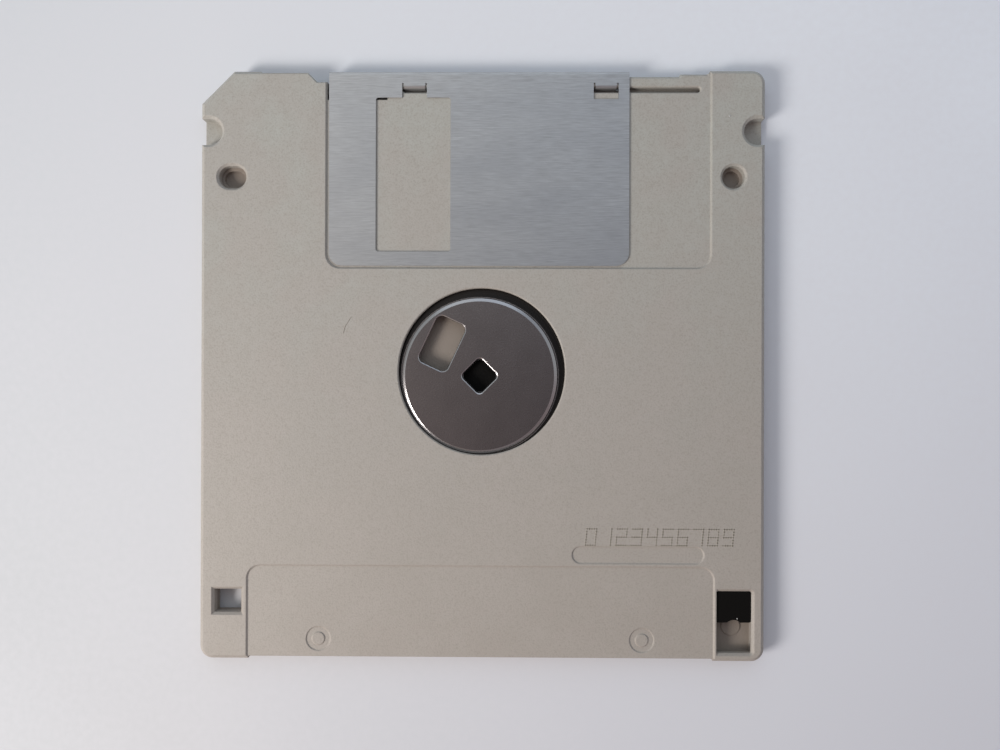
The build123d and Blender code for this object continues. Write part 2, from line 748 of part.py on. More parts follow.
with BuildPart() as shutter:
    with BuildSketch(Plane.YZ.offset(shutter_left)):
        with BuildSketch(mode=Mode.PRIVATE) as outer_fold:
            with Locations(((shutter_rear + shutter_front) / 2, seam)):
                Rectangle(shutter_length, hub_leaf - label_leaf + 2 * sheet)
            fillet(outer_fold.vertices().group_by(Axis.X)[-1], fold_radius)
        add(outer_fold.sketch_local)
        with BuildSketch(mode=Mode.PRIVATE) as inner_fold:
            with Locations(((shutter_rear + shutter_front) / 2 - sheet, seam)):
                Rectangle(shutter_length, hub_leaf - label_leaf)
            fillet(inner_fold.vertices().group_by(Axis.X)[-1], fold_radius - sheet)
        add(inner_fold.sketch_local, mode=Mode.SUBTRACT)
    extrude(amount=shutter_width)
    fillet(shutter.edges().filter_by(Axis.Z).group_by(Axis.Y)[0], shutter_corner)
    with BuildSketch():
        with Locations((window_x, window_y)):
            RectangleRounded(window_width, window_length, window_corner)
    extrude(amount=case_thickness, mode=Mode.SUBTRACT)
    for tab_x in (left_tab_x, right_tab_x):
        with BuildSketch(Plane.XY.offset(hub_leaf)):
            with Locations((tab_x, (bend_front + tab_slot_rear) / 2)):
                Rectangle(tab_slot_width, bend_front - tab_slot_rear)
            with Locations(
                (tab_x - (tab_slot_width - ear_width) / 2, bend_front + ear_length / 2),
                (tab_x + (tab_slot_width - ear_width) / 2, bend_front + ear_length / 2),
            ):
                Rectangle(ear_width, ear_length)
        extrude(amount=sheet, mode=Mode.SUBTRACT)
        with BuildSketch(Plane.YZ.offset(tab_x - tab_width / 2)) as tab_section:
            with BuildLine():
                Polyline(
                    (bend_front, hub_leaf + sheet),
                    (tab_rear, hub_leaf + sheet),
                    (tab_rear, tab_end),
                    (tab_front, tab_end),
                    (tab_front, hub_leaf),
                    (bend_front, hub_leaf),
                    close=True,
                )
            make_face()
            outer_bend = tab_section.vertices().group_by(Axis.Y)[-1].sort_by(Axis.X)[0]
            inner_bend = tab_section.vertices().group_by(Axis.Y)[-2].sort_by(Axis.X)[0]
            fillet(outer_bend, tab_bend)
            fillet(inner_bend, tab_bend - sheet)
        extrude(amount=tab_width)
shutter.part.label = "shutter"
export_step(shutter.part, "parts/shutter.step")


# Shutter spring: a wire coil with one leg on the case and one hooked behind the right tab


def coil_end(turn, level):
    """The wire's middle where it leaves the coil at an angle of turn."""
    return Vector(coil_x + coil_radius * cos(turn), coil_y + coil_radius * sin(turn), level)


anchor_end = coil_end(anchor_turn, coil_bottom)
hook_end = coil_end(hook_turn, coil_bottom + coil_height)
anchor = Vector(anchor_x, anchor_y, coil_bottom)
hook = Vector(hook_x, hook_y, coil_bottom + coil_height)

with BuildPart() as shutter_spring:
    start = Plane(anchor_end, x_dir=(cos(anchor_turn), sin(anchor_turn), 0))
    with BuildLine(Plane((coil_x, coil_y, coil_bottom), x_dir=start.x_dir)):
        coil = Helix(coil_pitch, coil_height, coil_radius, lefthand=True)
    with BuildSketch(Plane(coil @ 0, z_dir=coil % 0)):
        RegularPolygon(wire / 2, wire_sides)
    sweep(path=coil)
    for inner, outer in ((anchor_end, anchor), (hook_end, hook)):
        along = (outer - inner).normalized()
        with BuildSketch(Plane(inner - along * wire, z_dir=along)):
            RegularPolygon(wire / 2, wire_sides)
        extrude(amount=(outer - inner).length + wire)
    with BuildSketch(Plane(hook - Vector(0, 0, wire / 2))):
        RegularPolygon(wire / 2, wire_sides)
    extrude(amount=hook_length)
shutter_spring.part.label = "shutter_spring"
export_step(shutter_spring.part, "parts/shutter_spring.step")
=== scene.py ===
# %% [markdown]
# A 3.5-inch floppy disk, seen from its hub side.
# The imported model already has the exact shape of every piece, in metres, lying on the plane z = 0.
# This lesson gives the pieces the finish of the real ones, adds the few things that are too fine for
# the solids, and sets up the camera, the floor and the light.

# %% Load the frame
import json
import math

import bpy
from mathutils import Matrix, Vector


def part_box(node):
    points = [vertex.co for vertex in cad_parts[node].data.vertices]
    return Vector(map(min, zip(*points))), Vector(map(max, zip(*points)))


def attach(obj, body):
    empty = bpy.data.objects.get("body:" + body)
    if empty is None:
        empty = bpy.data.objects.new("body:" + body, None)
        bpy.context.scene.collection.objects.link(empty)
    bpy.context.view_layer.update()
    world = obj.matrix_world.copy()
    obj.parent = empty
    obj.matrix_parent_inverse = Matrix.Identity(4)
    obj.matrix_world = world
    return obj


MM = 0.001

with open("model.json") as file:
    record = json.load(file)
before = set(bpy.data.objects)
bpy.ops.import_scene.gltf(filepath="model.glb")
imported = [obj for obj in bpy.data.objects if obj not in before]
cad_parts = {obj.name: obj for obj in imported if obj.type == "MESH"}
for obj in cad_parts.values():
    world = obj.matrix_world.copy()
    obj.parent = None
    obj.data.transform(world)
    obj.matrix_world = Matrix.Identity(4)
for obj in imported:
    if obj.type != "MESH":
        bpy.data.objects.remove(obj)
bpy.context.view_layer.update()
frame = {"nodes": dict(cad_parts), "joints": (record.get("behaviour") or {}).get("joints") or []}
nodes = frame["nodes"]
print("nodes:", sorted(nodes))

# %% [markdown]
# The record of the model tells where the hub turns, and the solids' boxes tell how high their faces
# are, so no size is written twice.

# %% Read the references
joints = {joint["name"]: joint for joint in frame["joints"]}
hub_axis = Vector(joints["disk_spin"]["pos_m"])
case_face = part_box("hub_side_shell")[1].z
slider_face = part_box("write_protect_slider")[1].z
print("hub axis at", [round(value / MM, 2) for value in hub_axis], "mm")
print("case face at", round(case_face / MM, 2), "mm")


# %% [markdown]
# Colours are written as on a screen, in sRGB hex, and the renderer wants linear light. One function
# turns them over, and one adds a node with its settings and its links. All materials below are built
# with these two, so each one reads as a short recipe.

# %% Colours and nodes
RGBA = {"data_type": "RGBA"}


def linear(hex_colour):
    """The linear RGBA of an sRGB colour such as "#AAA59C"."""
    channels = [int(hex_colour[place : place + 2], 16) / 255 for place in (1, 3, 5)]
    return tuple(c / 12.92 if c <= 0.04045 else ((c + 0.055) / 1.055) ** 2.4 for c in channels) + (1.0,)


def add(tree, kind, settings=None, **inputs):
    """Adds a node. An input is named by its label or, after an underscore, by its number."""
    node = tree.nodes.new(kind)
    for name, value in (settings or {}).items():
        setattr(node, name, value)
    for name, value in inputs.items():
        socket = node.inputs[int(name[1:]) if name[1:].isdigit() else name.replace("_", " ")]
        if isinstance(value, bpy.types.NodeSocket):
            tree.links.new(value, socket)
        elif isinstance(value, str):
            socket.default_value = linear(value)
        else:
            socket.default_value = value
    return node


def new_material(name, **surface):
    """A material with its Principled shader, and the values that hold all over the surface."""
    material = bpy.data.materials.new(name)
    material.use_nodes = True
    tree = material.node_tree
    shader = tree.nodes["Principled BSDF"]
    for socket, value in surface.items():
        shader.inputs[socket.replace("_", " ")].default_value = value
    return material, tree, shader


# %% [markdown]
# A real surface is never one flat colour. Its grain, clouds and streaks are noises on the object's own
# coordinates, which stay put when the piece moves. Each is a mask, whose size is given in millimetres,
# and it may lay a colour over the one below, press a bump, or change the gloss.

# %% Masks, layers and bumps
EDGE_SAMPLES = 6


def mask(tree, size_mm, low=0.3, high=0.7, most=1.0, detail=2.0, roughness=0.5):
    """Patches about size_mm wide (one size, or three along X, Y and Z), from 0 to most."""
    sizes = size_mm if isinstance(size_mm, tuple) else (size_mm,) * 3
    place = add(tree, "ShaderNodeTexCoord").outputs["Object"]
    scaled = add(tree, "ShaderNodeMapping", Vector=place, Scale=[1 / (size * MM) for size in sizes])
    noise = add(
        tree, "ShaderNodeTexNoise", Vector=scaled.outputs[0], Scale=1.0, Detail=detail, Roughness=roughness
    )
    return add(
        tree, "ShaderNodeMapRange", Value=noise.outputs["Fac"], From_Min=low, From_Max=high, To_Max=most
    ).outputs["Result"]


def layered(tree, base, *layers):
    """A base colour with others over it, each let through by its mask."""
    for through, colour in layers:
        base = add(tree, "ShaderNodeMix", RGBA, _0=through, _6=base, _7=colour).outputs[2]
    return base


def finish(tree, shader, colour, gloss=None, bumps=(), rounding_mm=0.0):
    """Joins the colour, the gloss (its mask, roughest and smoothest), the bumps (mask, depth in mm) and
    the edges' rounding, which is shading only and leaves the mesh as it is."""
    tree.links.new(colour, shader.inputs["Base Color"])
    if rounding_mm:
        edge = add(tree, "ShaderNodeBevel", {"samples": EDGE_SAMPLES}, Radius=rounding_mm * MM)
        tree.links.new(edge.outputs["Normal"], shader.inputs["Normal"])
    if gloss:
        through, rough, smooth = gloss
        spread = add(tree, "ShaderNodeMapRange", Value=through, To_Min=rough, To_Max=smooth)
        tree.links.new(spread.outputs["Result"], shader.inputs["Roughness"])
    for height, depth_mm in bumps:
        bump = add(tree, "ShaderNodeBump", Height=height, Distance=depth_mm * MM)
        if shader.inputs["Normal"].is_linked:
            tree.links.new(shader.inputs["Normal"].links[0].from_socket, bump.inputs["Normal"])
        tree.links.new(bump.outputs["Normal"], shader.inputs["Normal"])


def dress(node_name, material):
    """Gives a CAD node its material through its own slots."""
    mesh = nodes[node_name].data
    if not mesh.materials:
        mesh.materials.append(material)
    for place in range(len(mesh.materials)):
        mesh.materials[place] = material


# %% [markdown]
# The photograph was taken from straight above, a little over a hand's breadth away, so the near rims of
# the recesses hide a thin strip of their walls. A camera at that height with a normal lens gives the
# same look, which a distant long lens doesn't. The lean of about half a degree is not known from the
# photograph itself. It was fitted, as the one with which most edges fall in place, though the hub's fit
# a little less well with it.

# %% Camera
SENSOR_MM = 36.0
IMAGE_WIDTH = 1000
FOCAL_PIXELS = 810.0
CAMERA_PLACE = Vector((4.34, -1.745, 132.24)) * MM
CAMERA_TURN_DEGREES = (0.087, 0.624, 0.170)

camera_data = bpy.data.cameras.new("copy_stand_camera")
camera_data.sensor_width = SENSOR_MM
camera_data.lens = FOCAL_PIXELS * SENSOR_MM / IMAGE_WIDTH
camera_data.clip_start = 5 * MM
camera = bpy.data.objects.new("copy_stand_camera", camera_data)
camera.location = CAMERA_PLACE
camera.rotation_euler = [math.radians(angle) for angle in CAMERA_TURN_DEGREES]
bpy.context.scene.collection.objects.link(camera)
bpy.context.scene.camera = camera
bpy.context.scene.view_settings.view_transform = "Standard"
print("lens", round(camera_data.lens, 2), "mm")

# %% [markdown]
# Two soft lamps stand near the disk. A warm one on the left rakes over it: it lights the edges that
# face it and leaves a short shadow beyond the right edge. A wide cool one stands behind the front edge,
# and the shutter mirrors it.
# Both are so near that their light falls off across the disk, from the left and from the front.

# %% Lamps
WARM_LAMP = {"place": (-0.243, -0.122, 0.200), "size": 0.11, "watts": 0.95, "colour": "#FFF9F2"}
COOL_LAMP = {"place": (-0.010, 0.190, 0.190), "size": 0.28, "watts": 0.13, "colour": "#E6F3FF"}


def soft_lamp(name, lamp):
    """A square lamp that faces the middle of the disk."""
    data = bpy.data.lights.new(name, "AREA")
    data.shape = "SQUARE"
    data.size = lamp["size"]
    data.energy = lamp["watts"]
    data.color = linear(lamp["colour"])[:3]
    light = bpy.data.objects.new(name, data)
    light.location = lamp["place"]
    light.rotation_euler = (-Vector(lamp["place"])).to_track_quat("-Z", "Y").to_euler()
    bpy.context.scene.collection.objects.link(light)
    print(name, "with", lamp["watts"], "W")


soft_lamp("warm_lamp", WARM_LAMP)
soft_lamp("cool_lamp", COOL_LAMP)

# %% [markdown]
# The rest of the light comes from the room, which is the world. Nobody knows what that room was like:
# its bands were chosen until the mirrored light looked as in the photograph. They came out pale and a
# little cool beyond the front edge, darker and reddish on the near side, and darkest nearly straight
# above, where the camera is held. Plastic hardly shows that, but the hub and the shutter mirror it, so
# both look lighter under other light than they do here.

# %% Room light
WORLD_STRENGTH = 0.57
BACKDROP_COLOUR = "#DADAE0"
ROOM_NEAR_TO_FAR = (
    (-1.00, "#FFF8F6"), (-0.86, "#ECDDDA"), (-0.68, "#C6B2B0"), (-0.42, "#CDB9B8"), (-0.15, "#DDCFD0"),
    (0.00, "#EEEAEC"), (0.12, "#F6FAFA"), (0.70, "#EDF5FC"), (1.00, "#D6DFE8"),
)
ROOM_LEFT_TO_RIGHT = (
    (-1.0, "#FFFFFF"), (-0.45, "#FFFDF6"), (-0.20, "#FFF5E9"), (0.05, "#E4E5EA"), (0.40, "#ECEFF6"),
    (1.0, "#FFFFFF"),
)
CAMERA_SHADE = Vector((0.11, -0.06, 0.99)).normalized()  # the middle of the dim patch, as a direction
ROOM_UP_TO_CAMERA = (
    (0.0, "#FFFFFF"), (0.766, "#FAFAFA"), (0.94, "#F0F0F1"), (0.970, "#CAC8CA"), (0.984, "#A09D9F"),
    (0.995, "#878385"), (1.0, "#7F7A7C"),
)


def banded(tree, value, bands):
    """Colours along a value from its first band's place to its last one's."""
    low, high = bands[0][0], bands[-1][0]
    part = add(tree, "ShaderNodeMapRange", Value=value, From_Min=low, From_Max=high)
    ramp = add(tree, "ShaderNodeValToRGB", Fac=part.outputs["Result"])
    elements = ramp.color_ramp.elements
    elements.remove(elements[1])
    for place, colour in bands:
        element = elements[0] if place == low else elements.new((place - low) / (high - low))
        element.color = linear(colour)
    return ramp.outputs["Color"]


world = bpy.data.worlds.new("soft_room")
bpy.context.scene.world = world
world.use_nodes = True
sky = world.node_tree
sky.nodes.clear()
direction = add(sky, "ShaderNodeTexCoord").outputs["Generated"]
axes = add(sky, "ShaderNodeSeparateXYZ", Vector=direction)
around = banded(sky, axes.outputs["Y"], ROOM_NEAR_TO_FAR)
towards = add(sky, "ShaderNodeVectorMath", {"operation": "DOT_PRODUCT"}, _0=direction, _1=CAMERA_SHADE)
upward = banded(sky, towards.outputs["Value"], ROOM_UP_TO_CAMERA)
across = banded(sky, axes.outputs["X"], ROOM_LEFT_TO_RIGHT)
multiply = {**RGBA, "blend_type": "MULTIPLY"}
shaded = around
for band in (across, upward):
    shaded = add(sky, "ShaderNodeMix", multiply, _0=1.0, _6=shaded, _7=band).outputs[2]
room = add(sky, "ShaderNodeBackground", Color=shaded, Strength=WORLD_STRENGTH)
backdrop = add(sky, "ShaderNodeBackground", Color=BACKDROP_COLOUR, Strength=1.0)
seen = add(sky, "ShaderNodeLightPath").outputs["Is Camera Ray"]
joined = add(sky, "ShaderNodeMixShader", _0=seen, _1=room.outputs[0], _2=backdrop.outputs[0])
add(sky, "ShaderNodeOutputWorld", Surface=joined.outputs[0])
print("room light of strength", WORLD_STRENGTH)


# %% [markdown]
# The tabletop is painted board, pale with a breath of lavender. The lamps' light falls off across it,
# and in the photograph that hardly shows, so its paint gets lighter to the right and to the front. It
# is matte, so it takes the disk's soft shadow. A slow cloud keeps it from looking like a cut-out.

# %% Table
TABLE_HALF = 0.9
NEAR_PAINT = ((-0.09, "#BABEC3"), (-0.045, "#C6C8CD"), (0.05, "#C8C9D2"), (0.10, "#C5C6D1"))  # along X
FAR_PAINT = ((-0.09, "#D6DDE4"), (-0.045, "#E2E8EF"), (0.05, "#ECF3FC"), (0.10, "#EBF2FD"))
PAINT_SLANT = (0.53, 0.85, 0.0)  # the way in which near turns into far


def painted_board():
    material, tree, shader = new_material("matte_painted_board", Roughness=0.8)
    place = add(tree, "ShaderNodeTexCoord").outputs["Object"]
    axes = add(tree, "ShaderNodeSeparateXYZ", Vector=place)
    near = banded(tree, axes.outputs["X"], NEAR_PAINT)
    far = banded(tree, axes.outputs["X"], FAR_PAINT)
    slant = add(tree, "ShaderNodeVectorMath", {"operation": "DOT_PRODUCT"}, _0=place, _1=PAINT_SLANT)
    part = add(tree, "ShaderNodeMapRange", Value=slant.outputs["Value"], From_Min=-0.08, From_Max=0.08)
    shade = layered(tree, near, (part.outputs["Result"], far))
    fine = mask(tree, 1.2, most=0.12)
    colour = layered(tree, shade, (mask(tree, 60.0, most=0.2), "#D6D6DE"), (fine, "#DADAE1"))
    finish(tree, shader, colour, bumps=[(fine, 0.01)])
    return material


table_mesh = bpy.data.meshes.new("tabletop")
corners = [(x * TABLE_HALF, y * TABLE_HALF, 0.0) for x, y in ((-1, -1), (1, -1), (1, 1), (-1, 1))]
table_mesh.from_pydata(corners, [], [(0, 1, 2, 3)])
table_mesh.materials.append(painted_board())
table = bpy.data.objects.new("tabletop", table_mesh)
bpy.context.scene.collection.objects.link(table)
print("tabletop", 2 * TABLE_HALF, "m square")


# %% [markdown]
# The case halves are injection-moulded ABS in a warm grey. The steel mould was spark-eroded, which
# leaves a fine matte grain on all outer faces. One bump would look like sand, so there are two: the
# grain itself, and a slower unevenness. Its colour has painted light in it: a shade darker and pinker
# towards the label, lighter and greener towards the shutter. Over that lie faint flow clouds from the
# moulding and dust in the grain's pits. The label half's inside, seen through the openings, is painted
# darker and browner, a painted shade.

# %% ABS case
EDGE_MM = 0.16  # how wide the rounding of the edges looks
GRAIN_MM = 0.26  # spark erosion is usually finer, but that would be less than a pixel here
MOTTLE_MM = 1.3
FLOW_MM = 9.0
# Painted light: darker and pinker towards the label, lighter and greener towards the shutter.
PAINTED_LIGHT_ALONG_Y = ((-0.047, "#A49D97"), (-0.01, "#A7A39E"), (0.047, "#ACAEA9"))  # along Y
SHADED_INSIDE = Vector((43.2, 40.0, 0.7)) * MM  # half the width and length of the inside with painted shade, and its lowest z
SHADED_INSIDE_MIDDLE = Vector((0.0, -6.0, 0.0)) * MM


def painted_shade_inside(tree):
    """Where the painted shade goes: on the label half's floor, inside the outer walls and behind the
    notches.
    """
    place = add(tree, "ShaderNodeTexCoord").outputs["Object"]
    moved = add(tree, "ShaderNodeVectorMath", {"operation": "SUBTRACT"}, _0=place, _1=SHADED_INSIDE_MIDDLE)
    size = add(tree, "ShaderNodeVectorMath", {"operation": "ABSOLUTE"}, _0=moved.outputs["Vector"])
    axes = add(tree, "ShaderNodeSeparateXYZ", Vector=size.outputs["Vector"]).outputs
    inside = 1.0
    for axis, operation, limit in (
        ("X", "LESS_THAN", SHADED_INSIDE.x), ("Y", "LESS_THAN", SHADED_INSIDE.y), ("Z", "GREATER_THAN", SHADED_INSIDE.z)
    ):
        within = add(tree, "ShaderNodeMath", {"operation": operation}, _0=axes[axis], _1=limit).outputs[0]
        inside = add(tree, "ShaderNodeMath", {"operation": "MULTIPLY"}, _0=inside, _1=within).outputs[0]
    return inside


def moulded_abs(name, shaded_inside):
    material, tree, shader = new_material(name, IOR=1.53)
    grain = mask(tree, GRAIN_MM, 0.25, 0.75, detail=2.5, roughness=0.6)
    mottle = mask(tree, MOTTLE_MM)
    place = add(tree, "ShaderNodeTexCoord").outputs["Object"]
    axes = add(tree, "ShaderNodeSeparateXYZ", Vector=place)
    # painted light along Y: darker and pinker at the label end, lighter and greener at the shutter end
    painted_light_tint = banded(tree, axes.outputs["Y"], PAINTED_LIGHT_ALONG_Y)
    colour = layered(
        tree, painted_light_tint,
        (mask(tree, FLOW_MM, 0.42, 0.60, most=0.5), "#AAA49F"),
        (mask(tree, MOTTLE_MM, most=0.35), "#A29E97"),
        (mask(tree, GRAIN_MM, 0.52, 0.30, most=0.55, detail=2.5, roughness=0.6), "#918C84"),
    )
    # painted shade: the label half's inside is painted darker and browner
    if shaded_inside:
        colour = layered(tree, colour, (painted_shade_inside(tree), "#8A8179"))
    finish(tree, shader, colour, (grain, 0.62, 0.48), [(mottle, 0.006), (grain, 0.015)], rounding_mm=EDGE_MM)
    return material


dress("hub_side_shell", moulded_abs("ABS_spark_eroded_warm_grey", shaded_inside=False))
dress("label_side_shell", moulded_abs("ABS_spark_eroded_painted_shade_inside", shaded_inside=True))
print("case halves dressed")


# %% [markdown]
# The shutter is one sheet of stainless steel, 0.2 mm thick, brushed along its travel before it was
# punched and folded. The brushing shows as short dashes of light and dark, one to three millimetres
# long, and it spreads a mirrored light across the dashes much more than along them. The shader's
# anisotropy does the second. Its tangent has to lie across the brushing: it is the direction that is
# at right angles to both the surface's normal and the X axis.

# %% Brushed stainless steel
def brushed_stainless():
    material, tree, shader = new_material("stainless_steel_brushed", Metallic=1.0, Anisotropic=0.7)
    dashes = mask(tree, (2.8, 0.20, 0.20), 0.25, 0.75, detail=3.0, roughness=0.65)
    colour = layered(
        tree, "#B3B4B5",
        (dashes, "#D2D3D4"),
        (mask(tree, (7.0, 0.12, 0.12), 0.35, 0.7, most=0.3), "#D2D3D4"),
        (mask(tree, (14.0, 5.0, 5.0), most=0.3), "#A9ABB0"),
    )
    normal = add(tree, "ShaderNodeNewGeometry").outputs["Normal"]
    across = add(tree, "ShaderNodeVectorMath", {"operation": "CROSS_PRODUCT"}, _0=normal, _1=(1, 0, 0))
    tree.links.new(across.outputs["Vector"], shader.inputs["Tangent"])
    finish(tree, shader, colour, (dashes, 0.54, 0.40), [(dashes, 0.0025)])
    return material


dress("shutter", brushed_stainless())
print("shutter dressed")


# %% [markdown]
# The hub is pressed from nickel-plated steel and bead-blasted, which gives its flat face a close satin
# grain. It lies flat under the camera, so it mirrors the dim part of the room. Its shoulder and the
# rounded edges of its two holes aren't blasted but burnished, and they lean, so they mirror the bright
# part as thin rings. They are also painted much lighter than the face, a painted highlight. The
# shoulder is in the solid. The holes' edges are at most a third of a millimetre wide, which a bump does
# well: its height falls off towards the hole.

# %% Edges of the hub's holes
SHOULDER_RADIUS = 11.9 * MM
SQUARE = {"centre": hub_axis, "turn": 45.0, "half": (2.0, 2.0), "corner": 0.5, "edge": 0.34}
SLOT_CENTRE = hub_axis + Vector((-6.0, 5.16, 0.0)) * MM
SLOT = {"centre": SLOT_CENTRE, "turn": 65.0, "half": (4.05, 2.5), "corner": 1.0, "edge": 0.2}


def away_from(tree, hole):
    """From 0 at a hole's outline to 1 where its edge ends. The hole is a turned rounded rectangle."""
    place = add(tree, "ShaderNodeTexCoord").outputs["Object"]
    turned = add(
        tree, "ShaderNodeMapping", {"vector_type": "TEXTURE"},
        Vector=place, Location=hole["centre"], Rotation=(0.0, 0.0, math.radians(hole["turn"])),
    )
    flat = add(tree, "ShaderNodeVectorMath", {"operation": "MULTIPLY"}, _0=turned.outputs[0], _1=(1, 1, 0))
    size = add(tree, "ShaderNodeVectorMath", {"operation": "ABSOLUTE"}, _0=flat.outputs[0])
    core = Vector([side - hole["corner"] for side in hole["half"]] + [0.0]) * MM
    past = add(tree, "ShaderNodeVectorMath", {"operation": "SUBTRACT"}, _0=size.outputs[0], _1=core)
    outside = add(tree, "ShaderNodeVectorMath", {"operation": "MAXIMUM"}, _0=past.outputs[0], _1=(0, 0, 0))
    reach = add(tree, "ShaderNodeVectorMath", {"operation": "LENGTH"}, _0=outside.outputs[0])
    start = hole["corner"] * MM
    end = start + hole["edge"] * MM
    return add(
        tree, "ShaderNodeMapRange", Value=reach.outputs["Value"], From_Min=start, From_Max=end
    ).outputs["Result"]


# %% Satin hub
def satin_nickel():
    material, tree, shader = new_material("nickel_plated_steel_satin", Metallic=1.0)
    grit = mask(tree, 0.24, 0.25, 0.75)
    colour = layered(
        tree, "#7F797A",
        (grit, "#9D9798"),
        (mask(tree, 3.5, 0.35, 0.7, most=0.35), "#807A7B"),
    )
    place = add(tree, "ShaderNodeTexCoord").outputs["Object"]
    centred = add(tree, "ShaderNodeVectorMath", {"operation": "SUBTRACT"}, _0=place, _1=hub_axis)
    flat = add(tree, "ShaderNodeVectorMath", {"operation": "MULTIPLY"}, _0=centred.outputs[0], _1=(1, 1, 0))
    radius = add(tree, "ShaderNodeVectorMath", {"operation": "LENGTH"}, _0=flat.outputs[0]).outputs["Value"]
    least, most = {"operation": "MINIMUM"}, {"operation": "MAXIMUM"}
    beyond, without = {"operation": "GREATER_THAN"}, {"operation": "SUBTRACT"}
    around_square, around_slot = away_from(tree, SQUARE), away_from(tree, SLOT)
    edges = add(tree, "ShaderNodeMath", least, _0=around_square, _1=around_slot).outputs[0]
    near_holes = add(tree, "ShaderNodeMath", without, _0=1.0, _1=edges).outputs[0]
    holes = add(tree, "ShaderNodeMath", beyond, _0=near_holes, _1=0.0).outputs[0]
    shoulder = add(tree, "ShaderNodeMath", beyond, _0=radius, _1=SHOULDER_RADIUS).outputs[0]
    burnished_and_painted_highlight = add(tree, "ShaderNodeMath", most, _0=shoulder, _1=holes).outputs[0]
    smooth = add(tree, "ShaderNodeMath", most, _0=burnished_and_painted_highlight, _1=grit).outputs[0]
    # painted highlight: the shoulder and the holes' edges are painted much lighter than the face
    colour = layered(tree, colour, (burnished_and_painted_highlight, "#B2B0B2"))
    finish(tree, shader, colour, (smooth, 0.34, 0.25), [(edges, 0.15), (grit, 0.004)])
    return material


dress("hub", satin_nickel())
print("hub dressed")


# %% [markdown]
# The write-protect slider and the wear pad are small black mouldings. Theirs is not a true black: a
# little light stays on the edges, and the slider has a finer grain than the case.

# %% Black mouldings
def black_moulding(name, hex_colour, roughness, grain_mm):
    material, tree, shader = new_material(name, Roughness=roughness, IOR=1.5, Specular_IOR_Level=0.12)
    grain = mask(tree, grain_mm)
    finish(tree, shader, layered(tree, hex_colour, (grain, "#0E0D0C")), bumps=[(grain, 0.006)])
    return material


dress("write_protect_slider", black_moulding("ABS_black_slider", "#070706", 0.55, 0.2))
dress("wear_pad", black_moulding("UHMW_polyethylene_black", "#060606", 0.65, 0.3))
print("slider and wear pad dressed")


# %% [markdown]
# The disk itself is a polyester film coated with a dark magnetic layer and burnished as it turns, so it
# has very fine rings round its axis. The rings come from a noise that reads the distance from the axis.

# %% Magnetic film
RING_MM = 0.35


def magnetic_coating():
    material, tree, shader = new_material("polyester_magnetic_coating", IOR=1.6)
    place = add(tree, "ShaderNodeTexCoord").outputs["Object"]
    centred = add(tree, "ShaderNodeMapping", Vector=place, Location=-hub_axis)
    flat = add(tree, "ShaderNodeVectorMath", {"operation": "MULTIPLY"}, _0=centred.outputs[0], _1=(1, 1, 0))
    radius = add(tree, "ShaderNodeVectorMath", {"operation": "LENGTH"}, _0=flat.outputs[0]).outputs["Value"]
    line = {"noise_dimensions": "1D"}
    noise = add(tree, "ShaderNodeTexNoise", line, W=radius, Scale=1 / (RING_MM * MM), Detail=3.0)
    rings = add(tree, "ShaderNodeMapRange", Value=noise.outputs["Fac"], From_Min=0.3, From_Max=0.7)
    rings = rings.outputs["Result"]
    colour = layered(tree, "#0B0908", (rings, "#15110E"))
    finish(tree, shader, colour, (rings, 0.30, 0.18), [(rings, 0.0003)])
    return material


dress("magnetic_disk", magnetic_coating())
print("magnetic film dressed")


# %% [markdown]
# The liners are non-woven fabric: short fibres pressed together in all directions. Two noises, each
# stretched along its own direction, cross each other and read as a felt of fibres.
# The lifter under the liner is a leaf of milky polyester film, and the ring under the hub is an amber
# pressure-sensitive adhesive.

# %% Liners, lifter and adhesive
def non_woven():
    material, tree, shader = new_material("rayon_non_woven", Roughness=0.95)
    first = mask(tree, (1.6, 0.12, 0.12), 0.4, 0.7)
    second = mask(tree, (0.12, 1.6, 0.12), 0.4, 0.7)
    fibres = add(tree, "ShaderNodeMath", {"operation": "MAXIMUM"}, _0=first, _1=second).outputs[0]
    finish(tree, shader, layered(tree, "#B9B5AC", (fibres, "#E2DED4")), bumps=[(fibres, 0.03)])
    return material


def film_or_glue(name, dark, light, roughness, patch_mm):
    material, tree, shader = new_material(name, Roughness=roughness, IOR=1.55)
    patch = mask(tree, patch_mm)
    finish(tree, shader, layered(tree, dark, (patch, light)), bumps=[(patch, 0.002)])
    return material


liner_material = non_woven()
for liner in ("hub_side_liner", "label_side_liner"):
    dress(liner, liner_material)
dress("lifter", film_or_glue("polyester_film_milky", "#D5D2C8", "#E1DED6", 0.2, 2.0))
dress("hub_adhesive_ring", film_or_glue("acrylic_adhesive_amber", "#8A6F3E", "#A98E58", 0.3, 0.8))
print("liners, lifter and adhesive dressed")


# %% [markdown]
# The shutter's spring is drawn steel wire. Drawing leaves fine lines along the wire; at this size they
# only break up the gloss.

# %% Spring wire
def drawn_wire():
    material, tree, shader = new_material("spring_steel_drawn", Metallic=1.0)
    lines = mask(tree, 0.25)
    colour = layered(tree, "#8F9092", (lines, "#B3B4B5"))
    finish(tree, shader, colour, (lines, 0.36, 0.22), [(lines, 0.001)])
    return material


dress("shutter_spring", drawn_wire())
print("spring dressed")

# %% [markdown]
# Above the short recess the photograph shows a lot number in dots. Here plain counting digits stand in
# its place. Each digit is five dots wide and seven high, with a slight lean.

